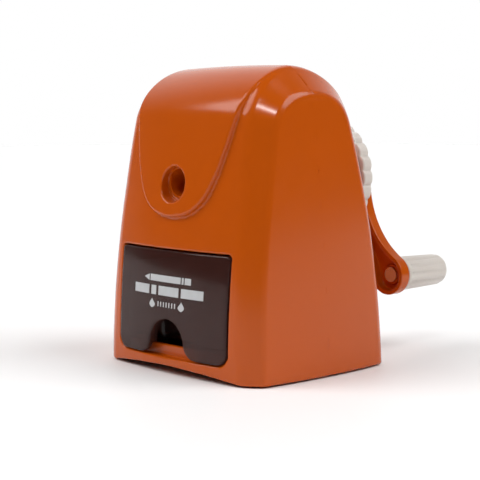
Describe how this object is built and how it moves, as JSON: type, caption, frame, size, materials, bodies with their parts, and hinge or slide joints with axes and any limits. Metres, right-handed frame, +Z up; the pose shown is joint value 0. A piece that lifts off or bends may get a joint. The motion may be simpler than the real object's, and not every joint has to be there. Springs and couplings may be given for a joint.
{
  "type": "desk pencil sharpener",
  "caption": "Desk pencil sharpener with a hand crank at the back, round pencil hole in a raised tongue, and a pull-out see-through shavings drawer.",
  "frame": {"origin": "centre of the footprint's datum on the table plane, under the main axis", "axes": "+Z up, -Y towards the user with the pencil hole and drawer, +Y towards the crank, +X to the right seen from the front"},
  "size_m": [0.079, 0.109, 0.1],
  "materials": {
    "orange_shell": "moulded ABS, polished",
    "dark_plastic": "moulded, fine texture",
    "foot_rubber": "matt",
    "steel": "zinc plated",
    "spring_steel": "rolled strip",
    "pale_acetal": "moulded acetal",
    "smoke_plastic": "see-through smoke brown",
    "white_plastic": "moulded, satin",
    "tool_steel": "ground",
    "sintered_gear": "sintered"
  },
  "bodies": {
    "body": {"front_casing": "orange_shell", "rear_casing": "orange_shell", "base_plate": "dark_plastic", "rubber_pad": "foot_rubber", "casing_screws": "steel", "base_screws": "steel", "pencil_guide": "orange_shell", "guide_retainer": "spring_steel", "drawer_spring": "spring_steel", "ring_gear": "pale_acetal"},
    "drawer": {"shavings_drawer": "smoke_plastic"},
    "collar": {"locking_collar": "white_plastic"},
    "crank": {"cutter_carrier": "dark_plastic", "drive_spindle": "steel", "thrust_washer": "steel", "crank_arm": "orange_shell", "crank_screw": "steel", "handle_pin": "steel", "handle_washer": "steel"},
    "cutter": {"milling_cutter": "tool_steel", "cutter_axle": "steel", "cutter_pinion": "sintered_gear", "axle_washers": "steel"},
    "grip": {"handle_knob": "white_plastic"}
  },
  "joints": [
    {"name": "drawer_slide", "type": "slide", "parent": "body", "child": "drawer", "axis": [0, -1, 0], "range_m": [0, 0.045]},
    {"name": "collar_twist", "type": "hinge", "parent": "body", "child": "collar", "pos_m": [0, 0.0418, 0.0621], "axis": [0, -1, 0], "range_deg": [0, 40]},
    {"name": "crank_spin", "type": "hinge", "parent": "body", "child": "crank", "pos_m": [0, 0.04, 0.0621], "axis": [0, 1, 0], "continuous": true},
    {"name": "cutter_spin", "type": "hinge", "parent": "crank", "child": "cutter", "pos_m": [0, 0.0055, 0.0698], "axis": [0, 0.9816, -0.1908], "continuous": true},
    {"name": "grip_spin", "type": "hinge", "parent": "crank", "child": "grip", "pos_m": [0.02433, 0.062, 0.02799], "axis": [0, 1, 0], "continuous": true}
  ],
  "couplings": [
    {"joint": "cutter_spin", "follows": "crank_spin", "ratio": -1.8333}
  ]
}
